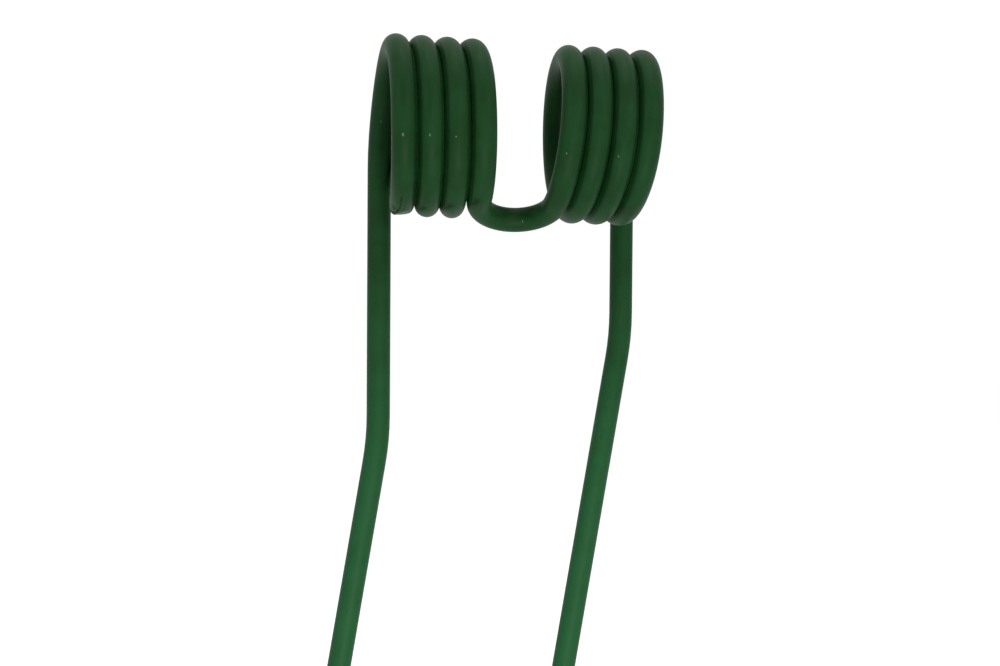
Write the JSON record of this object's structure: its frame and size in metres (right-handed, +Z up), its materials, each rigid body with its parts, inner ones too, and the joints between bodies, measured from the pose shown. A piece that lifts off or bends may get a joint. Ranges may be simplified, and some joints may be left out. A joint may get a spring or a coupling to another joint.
{
  "type": "rotary rake tine",
  "caption": "Double-coil spring tine bent from one round wire, with a clamp loop between its coils and bent raking legs.",
  "frame": {"origin": "on the common axis of the two coils, midway between them", "axes": "+X along the coil axis from the left coil to the right one, +Z up, both legs hanging down behind the coils on the +Y side and the clamp loop low between the coils"},
  "size_m": [0.1507, 0.0684, 0.4548],
  "materials": {
    "painted_wire": "smooth satin dark green paint over round spring-steel wire"
  },
  "bodies": {
    "root": {"spring_tine": "painted_wire"}
  },
  "joints": []
}
